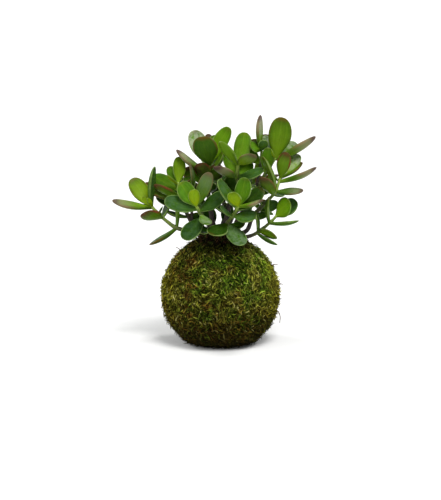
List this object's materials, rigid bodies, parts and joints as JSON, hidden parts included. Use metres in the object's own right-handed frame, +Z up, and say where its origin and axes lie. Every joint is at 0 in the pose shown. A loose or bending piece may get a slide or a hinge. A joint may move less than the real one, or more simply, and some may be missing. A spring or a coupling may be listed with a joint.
{
  "type": "kokedama moss ball plant",
  "caption": "Succulent jade plant with thick oval leaves on branching stems, rooted in a soil ball wrapped in moss and bound with thread, resting on a small flat foot.",
  "frame": {"origin": "middle of the flat foot that the moss ball rests on", "axes": "+Z up from the foot through the ball and the plant, +X along the plant's widest spread, to the right as seen from the front; the front looks along -Y"},
  "size_m": [0.202, 0.1334, 0.2283],
  "materials": {
    "moss": "matte shaggy moss",
    "soil": "damp crumbly soil",
    "thread": "twisted thread",
    "leaf": "waxy satin leaves, red at the edges"
  },
  "bodies": {
    "root": {"moss_wrap": "moss", "soil_ball": "soil", "binding_thread": "thread", "leafy_stem_left": "leaf", "leafy_stem_front_left": "leaf", "leafy_stem_front_right": "leaf", "leafy_stem_upper_left": "leaf", "leafy_stem_centre": "leaf", "leafy_stem_upper_right": "leaf", "leafy_stem_right": "leaf", "leafy_stem_right_low": "leaf", "leafy_stem_back_left": "leaf", "leafy_stem_back_right": "leaf", "leafy_stem_back_centre": "leaf"}
  },
  "joints": []
}
